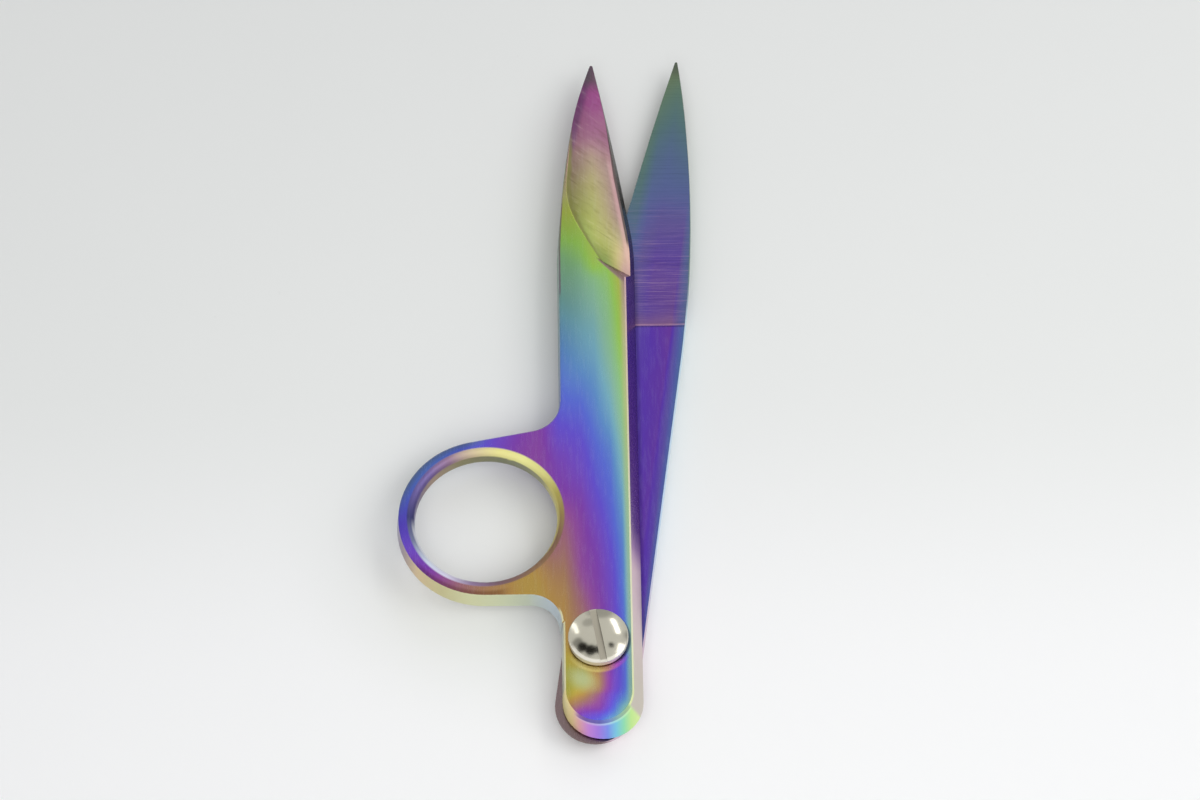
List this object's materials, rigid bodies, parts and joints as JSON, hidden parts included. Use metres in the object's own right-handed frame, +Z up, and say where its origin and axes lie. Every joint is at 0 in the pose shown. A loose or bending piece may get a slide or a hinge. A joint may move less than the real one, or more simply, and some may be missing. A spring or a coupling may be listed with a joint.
{
  "type": "one-ring thread snips",
  "caption": "One-ring thread snips: two pointed ground blades on a slotted pivot screw, sprung open, with a one-piece finger ring on the upper blade and a rainbow titanium finish.",
  "frame": {"origin": "on the pivot axis, in the plane that the snips lie on (the underside of the plain blade and the flush end of the pivot screw)", "axes": "+Z up along the pivot axis, +Y along the ring blade from the pivot to its tip, so the finger ring is on the -X side"},
  "size_m": [0.0457, 0.1218, 0.0089],
  "materials": {
    "rainbow_titanium": "polished steel with a rainbow titanium coating that shifts from magenta and yellow-green at the point through teal and blue to violet at the pivot",
    "polished_nickel": "polished nickel",
    "spring_steel": "drawn spring wire",
    "bright_steel": "ground dowel"
  },
  "bodies": {
    "lower_blade": {"plain_blade": "rainbow_titanium", "pivot_screw": "polished_nickel", "head_washer": "polished_nickel", "stop_pin": "bright_steel", "torsion_spring": "spring_steel"},
    "upper_blade": {"ring_blade": "rainbow_titanium"}
  },
  "joints": [
    {"name": "blade_pivot", "type": "hinge", "parent": "lower_blade", "child": "upper_blade", "pos_m": [0, 0, 0.0034], "axis": [0, 0, -1], "range_deg": [0, 7.8], "stiffness_Nm_per_rad": 0.35, "springref_deg": -6.88, "deforming": ["torsion_spring"]}
  ]
}
